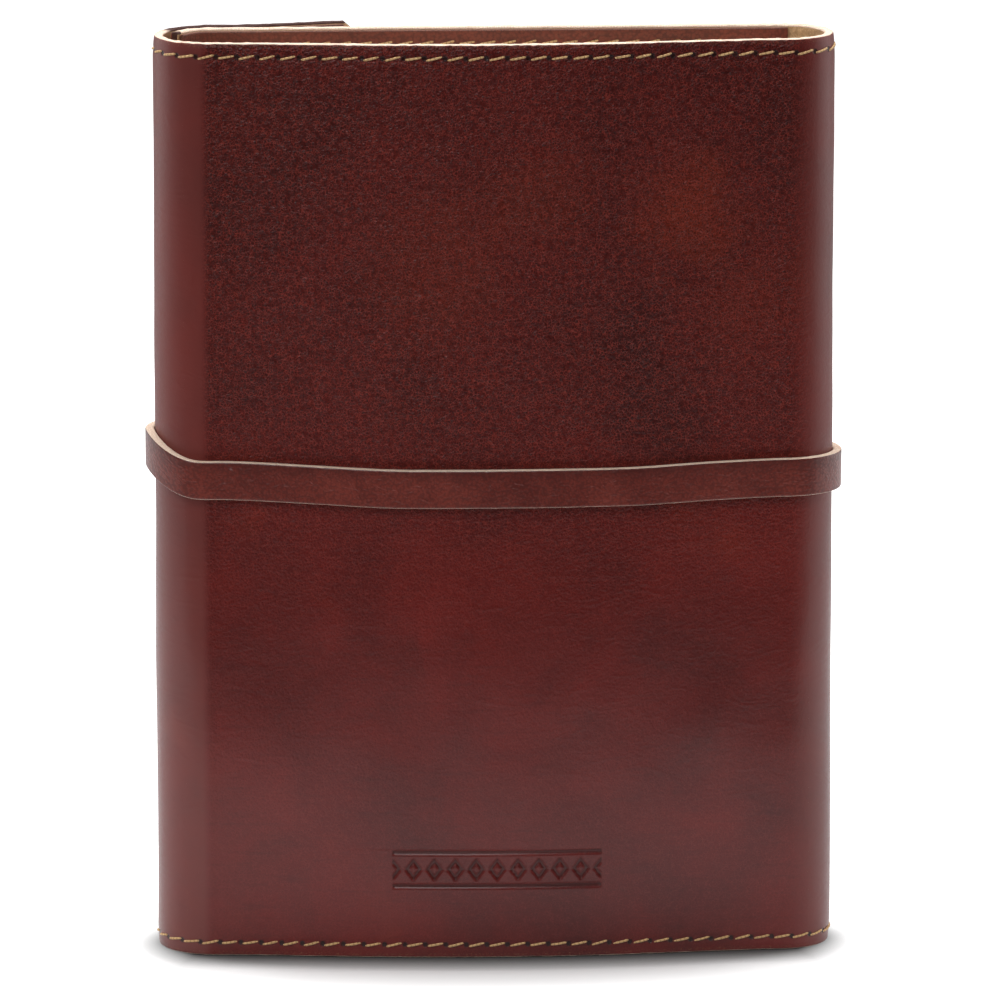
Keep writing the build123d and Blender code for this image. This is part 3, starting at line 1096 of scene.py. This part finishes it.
def strap_point(along, depth, z):
    """A point in the strap: depth is under its outer face and z is up from its lower edge."""
    x = fold_start + fold_end - along
    width = 0.98
    if along < fold_end and x > strap_tip - tip_r:
        width *= math.sqrt(max(0.02, 1 - ((x - strap_tip + tip_r) / tip_r) ** 2))
    level = strap_low + strap_wide / 2 + (z - strap_wide / 2) * width + strap_rise(along)
    outward = strap_lift + strap_t - depth
    wave = 0.00012 * noise.noise((along * 60, z * 60, 4.4))
    spot = hide_point(along, -outward - wave, level)
    if along < fold_end:
        down = ease(x, strap_step, strap_landing)
        spot.y += (strap_land - depth - spot.y) * down
    spot.z = level + wave
    return spot


def strap_grain():
    look = Finish("strap_grain")
    flat = look.flat_place()
    parts = look.node("ShaderNodeSeparateXYZ", {}, {0: flat})
    up = Amount(look, parts.outputs[1])
    shade = look.clouds(flat, 16, 4, 0.6, 0.7)
    lumps = look.clouds(look.flat_place((1000, 1500)), 2.6, 5, 0.6, 1.5, "RIDGED_MULTIFRACTAL")
    pores = look.cells(flat, 0.62, "F1")
    tone = look.blend(shade.fade(0.22, 0.80), (0.115, 0.0160, 0.0115), (0.215, 0.036, 0.0240))
    # the strap is darker towards its top edge: painted shade, which leaves the lower half brighter
    from_middle = up - strap_wide * 500
    tone = look.blend(from_middle.fade(1.0, 4.8) * 0.36, tone, hide_black)
    tone = look.blend(pores.fade(0.3, 0.75) * 0.35, tone, hide_black)
    bump = look.relief(lumps, 0.11)
    bump = look.relief(1 - pores.fade(0.0, 0.85), 0.04, bump)
    look.feed(look.surface, {"Coat Weight": 0.3, "Coat Roughness": 0.16, "Specular IOR Level": 0.42})
    return look.finish(Base_Color=tone, Roughness=0.27 + pores * 0.1 + shade * 0.08, Normal=bump)


strap_finish = [strap_grain(), flesh_side(), cut_edge("strap_edge", -1)]
strap_profile = edge_profile(strap_t, strap_wide, 0.0004, grid_lines(0.0006, strap_wide - 0.0006, 0.0007))


def strap_piece(name, begin, end, step, ends=(0, 0), near_ends=()):
    low, high = min(begin, end), max(begin, end)
    stations = sorted(set(grid_lines(low, high, step)) | {place for place in near_ends if low < place < high})
    return dress(wall(name, stations, strap_profile, strap_point, ends=ends), strap_finish)


def close_to(place, way, reach):
    """Stations that crowd towards the end of a piece, for its rounding."""
    return [place + way * reach * share for share in (0.03, 0.08, 0.16, 0.26, 0.4, 0.55, 0.75)]


back_run = strap_piece("strap_back_run", fold_start + overlap, spine_start - overlap, 0.0012)
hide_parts("strap_back_run")
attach(back_run, "back_cover")
for name, first, second, begin, end in lengths:
    piece = strap_piece(f"strap_{name}", begin, end, 0.0005)
    number = int(name[-1])
    if number < 4:
        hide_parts(f"strap_{name[:-2]}_run_{number}")
    bend(piece, first, second, begin, end)
root_run = strap_piece(
    "strap_front_run", spine_end + overlap, root_end, 0.0012, (0, 0.0008), close_to(root_end, -1, 0.0008)
)
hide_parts("strap_front_run")
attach(root_run, "front_cover")
tip_along = fold_start + fold_end - strap_tip
flap_run = strap_piece(
    "strap_flap_run", fold_end - overlap, tip_along, 0.0009, (0.0012, 0), close_to(tip_along, 1, tip_r)
)
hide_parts("strap_flap_run")
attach(flap_run, "flap")

thread_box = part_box("strap_root_thread")
root_points = []
corners = [
    Vector((thread_box[right].x, 0, thread_box[upper].z)) for right, upper in ((0, 0), (1, 0), (1, 1), (0, 1))
]
for start, stop in zip(corners, corners[1:] + corners[:1]):
    side = stop - start
    count = max(1, round(side.length / 0.0037))
    for number in range(count):
        spot = start + side * (number + 0.5) / count
        place = strap_point(spine_end + spine_start - spot.x, 0, spot.z - strap_low)
        root_points.append((place, side.normalized(), Vector((0, 1, 0))))
root_row = sew("strap_root_thread", root_points, 33, 0.0031)
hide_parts("strap_root_thread")
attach(root_row, "front_cover")

keeper_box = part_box("strap_keeper")
keeper_mid = (keeper_box[0] + keeper_box[1]) / 2
keeper_rise = keeper_box[1].y - keeper_box[0].y
keeper_half = (keeper_box[1].z - keeper_box[0].z) / 2
keeper_t = 0.0013


def keeper_point(turn, depth, z):
    """A narrow bridge of leather with both feet set into the front cover."""
    side, up = math.cos(turn), math.sin(turn)
    across = math.copysign(abs(side) ** 0.25, side) * (keeper_half - depth)
    outward = keeper_box[0].y + up**0.25 * (keeper_rise - depth)
    return Vector((keeper_box[0].x + z, outward, keeper_mid.z + across))


keeper_wide = keeper_box[1].x - keeper_box[0].x
keeper_shares = grid_lines(0, 1, 1 / 48)
keeper_turns = [math.pi * (share - math.sin(4 * math.pi * share) * 0.06) for share in keeper_shares]
keeper_turns[0], keeper_turns[-1] = 0.0, math.pi
keeper = wall(
    "strap_keeper",
    keeper_turns,
    edge_profile(keeper_t, keeper_wide, 0.0003, grid_lines(0.001, keeper_wide - 0.001, 0.0012)),
    lambda turn, depth, z: keeper_point(min(max(turn, 1e-9), math.pi - 1e-9), depth, z),
)
layout = keeper.data.uv_layers["hide"]
for spot in layout.data:
    spot.uv = (spot.uv[0] * 0.009, spot.uv[1] + 0.0012)
dress(keeper, strap_finish)
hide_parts("strap_keeper")
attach(keeper, "front_cover")

# ---------------------------------------------------------------------------------------------------
# Refill
# A stitched notebook: cream leaves in a block, a kraft card in front, a grey board behind and black book
# cloth round the binding. Its board slips behind the back lining, and it bows with the back cover.
# ---------------------------------------------------------------------------------------------------
def paper_finish():
    look = Finish("cream_paper")
    place = look.own_place()
    mottle = look.clouds(place, 14, 3)
    fibre = look.clouds(place, 0.5, 5, 0.7)
    tone = look.blend(mottle.fade(0.35, 0.7), (0.80, 0.73, 0.58), (0.86, 0.81, 0.69))
    return look.finish(Base_Color=tone, Roughness=0.82 + fibre * 0.1, Normal=look.relief(fibre, 0.02))


def card_finish(name, dark, light):
    look = Finish(name)
    flat = look.flat_place()
    flecks = look.clouds(flat, 0.6, 6, 0.75)
    mottle = look.clouds(flat, 20, 3)
    tone = look.blend(flecks.fade(0.35, 0.68), dark, light)
    tone = look.blend(mottle.fade(0.45, 0.8) * 0.25, tone, dark)
    return look.finish(Base_Color=tone, Roughness=0.78 + flecks * 0.12, Normal=look.relief(flecks, 0.04))


def cloth_finish():
    look = Finish("book_cloth")
    place = look.own_place()
    parts = look.node("ShaderNodeSeparateXYZ", {}, {0: place})
    warp = (Amount(look, parts.outputs[0]) + Amount(look, parts.outputs[1])).saw(0.5) * 4
    weft = Amount(look, parts.outputs[2]).saw(0.5) * 4
    weave = warp.sum("MULTIPLY", warp, weft)
    tone = look.blend(weave.fade(0.1, 0.9), (0.012, 0.011, 0.011), (0.045, 0.041, 0.038))
    return look.finish(Base_Color=tone, Roughness=0.7 + weave * 0.15, Normal=look.relief(weave, 0.08))


def follow_bow(place):
    """Moves what lies inside with the bow of the back cover, less and less towards the front."""
    near, far = -hide_t - fold_r, front_inside
    share = 1 - ease((place.y - near) / (far - near), 0.0, 1.0)
    bow = spine_near.y - hide_route(min(max(place.x, fold_start), spine_start))[0].y
    return place - Vector((0, bow * share, 0))


front_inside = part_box("front_pocket_lining")[0].y


def flat_card(name, node, finish, round_by=0.0002):
    """A flat card that fills a CAD piece's box and bows with what is round it."""
    low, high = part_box(node)
    thick, tall = high.y - low.y, high.z - low.z
    profile = edge_profile(thick, tall, round_by, grid_lines(0.004, tall - 0.004, 0.006))
    stations = grid_lines(low.x, high.x, 0.004)

    def point(along, depth, z):
        corner = min(along - low.x, high.x - along, 0.003)
        inset = 0.003 - math.sqrt(max(0.0, 0.003**2 - (0.003 - corner) ** 2)) if along < 0 else 0.0
        level = low.z + tall / 2 + (z - tall / 2) * (1 - 2 * inset / tall)
        return follow_bow(Vector((along, low.y + depth, level)))

    stations = sorted(set(stations) | set(close_to(low.x, 1, 0.003)))
    piece = wall(name, stations, profile, point, ends=(round_by, round_by))
    dress(piece, [finish] * 3)
    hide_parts(node)
    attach(piece, "back_cover")
    return piece


grey_board = card_finish("grey_board", (0.24, 0.22, 0.19), (0.42, 0.39, 0.34))
flat_card("notebook_back_board", "notebook_back_board", grey_board, 0.0003)
kraft_card = card_finish("kraft_card", (0.26, 0.155, 0.075), (0.45, 0.29, 0.155))
flat_card("notebook_front_card", "notebook_front_card", kraft_card)

block_low, block_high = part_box("notebook_page_block")


def leaf_tree():
    """Geometry nodes that stack one leaf over another, each a little out of line with the rest."""
    tree = bpy.data.node_groups.new("leaves", "GeometryNodeTree")
    face = tree.interface
    face.new_socket("Geometry", in_out="INPUT", socket_type="NodeSocketGeometry")
    face.new_socket("Leaves", in_out="INPUT", socket_type="NodeSocketInt").default_value = 84
    face.new_socket("Depth", in_out="INPUT", socket_type="NodeSocketFloat").default_value = 0.0142
    face.new_socket("Seed", in_out="INPUT", socket_type="NodeSocketInt").default_value = 5
    face.new_socket("Finish", in_out="INPUT", socket_type="NodeSocketMaterial")
    face.new_socket("Geometry", in_out="OUTPUT", socket_type="NodeSocketGeometry")
    given = tree.nodes.new("NodeGroupInput")
    last = tree.nodes.new("ShaderNodeMath")
    last.operation = "SUBTRACT"
    last.inputs[1].default_value = 1
    gap = tree.nodes.new("ShaderNodeMath")
    gap.operation = "DIVIDE"
    offset = tree.nodes.new("ShaderNodeCombineXYZ")
    line = tree.nodes.new("GeometryNodeMeshLine")
    stray = tree.nodes.new("FunctionNodeRandomValue")
    stray.data_type = "FLOAT_VECTOR"
    stray.inputs["Min"].default_value = (-0.00018, 0, -0.00022)
    stray.inputs["Max"].default_value = (0.0, 0, 0.00022)
    shifted = tree.nodes.new("GeometryNodeSetPosition")
    copies = tree.nodes.new("GeometryNodeInstanceOnPoints")
    real = tree.nodes.new("GeometryNodeRealizeInstances")
    coat = tree.nodes.new("GeometryNodeSetMaterial")
    out = tree.nodes.new("NodeGroupOutput")
    for source, target in (
        (given.outputs["Leaves"], last.inputs[0]),
        (given.outputs["Depth"], gap.inputs[0]),
        (last.outputs[0], gap.inputs[1]),
        (gap.outputs[0], offset.inputs["Y"]),
        (given.outputs["Leaves"], line.inputs["Count"]),
        (offset.outputs[0], line.inputs["Offset"]),
        (given.outputs["Seed"], stray.inputs["Seed"]),
        (line.outputs[0], shifted.inputs["Geometry"]),
        (stray.outputs[0], shifted.inputs["Offset"]),
        (shifted.outputs[0], copies.inputs["Points"]),
        (given.outputs["Geometry"], copies.inputs["Instance"]),
        (copies.outputs[0], real.inputs[0]),
        (real.outputs[0], coat.inputs["Geometry"]),
        (given.outputs["Finish"], coat.inputs["Material"]),
        (coat.outputs[0], out.inputs[0]),
    ):
        tree.links.new(source, target)
    return tree


leaf_t = 0.00011
across = grid_lines(block_low.x + 0.0002, block_high.x - 0.0001, 0.007)
spots, quads = [], []
leaf_foot, leaf_head = block_low.z + 0.0003, block_high.z - 0.0003
for x in across:
    for y, z in ((0, leaf_foot), (leaf_t, leaf_foot), (leaf_t, leaf_head), (0, leaf_head)):
        spots.append((x, y, z))
for number in range(len(across) - 1):
    a, b = 4 * number, 4 * number + 4
    quads += [(a + k, a + (k + 1) % 4, b + (k + 1) % 4, b + k) for k in range(4)]
quads += [(3, 2, 1, 0), tuple(4 * len(across) - 4 + k for k in range(4))]
leaf = bpy.data.meshes.new("notebook_page_block")
leaf.from_pydata(spots, [], quads)
leaf.update()
if leaf.polygons[0].normal.z > 0:
    leaf.flip_normals()
pages = bpy.data.objects.new("notebook_page_block", leaf)
bpy.context.scene.collection.objects.link(pages)
layer = pages.modifiers.new("leaves", "NODES")
layer.node_group = leaf_tree()
items = layer.node_group.interface.items_tree
sockets = {item.name: item.identifier for item in items if item.in_out == "INPUT"}
layer[sockets["Finish"]] = paper_finish()
layer[sockets["Depth"]] = block_high.y - block_low.y - leaf_t
bpy.context.view_layer.update()
block = bpy.data.meshes.new_from_object(pages.evaluated_get(bpy.context.evaluated_depsgraph_get()))
pages.modifiers.clear()
pages.data = block
for vertex in block.vertices:
    vertex.co = follow_bow(vertex.co + Vector((0, block_low.y, 0)))
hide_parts("notebook_page_block")
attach(pages, "back_cover")

tape_low, tape_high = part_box("notebook_binding_tape")
tape_leg = tape_high.x - tape_low.x
tape_deep = tape_high.y - tape_low.y


def tape_point(along, depth, z):
    """Book cloth from the back of the block, round its corner and on to the front card."""
    if along < tape_deep:
        spot = Vector((tape_high.x - depth, tape_low.y + along, tape_low.z + z))
    else:
        spot = Vector((tape_high.x - (along - tape_deep), tape_high.y - depth, tape_low.z + z))
    corner = 0.0007
    centre = Vector((tape_high.x - corner, tape_high.y - corner, spot.z))
    if spot.x > centre.x and spot.y > centre.y:
        away = spot - centre
        spot = centre + away.normalized() * max(abs(away.x), abs(away.y))
    return follow_bow(spot)


tape_corner = grid_lines(tape_deep - 0.0008, tape_deep + 0.0008, 0.0001)
tape_stations = sorted(set(grid_lines(0, tape_deep + tape_leg, 0.001)) | set(tape_corner))
tape_tall = tape_high.z - tape_low.z
tape_profile = edge_profile(0.0002, tape_tall, 0.00005, grid_lines(0.004, tape_tall - 0.004, 0.006))
tape = wall("notebook_binding_tape", tape_stations, tape_profile, tape_point)
dress(tape, [cloth_finish()] * 3)
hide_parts("notebook_binding_tape")
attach(tape, "back_cover")
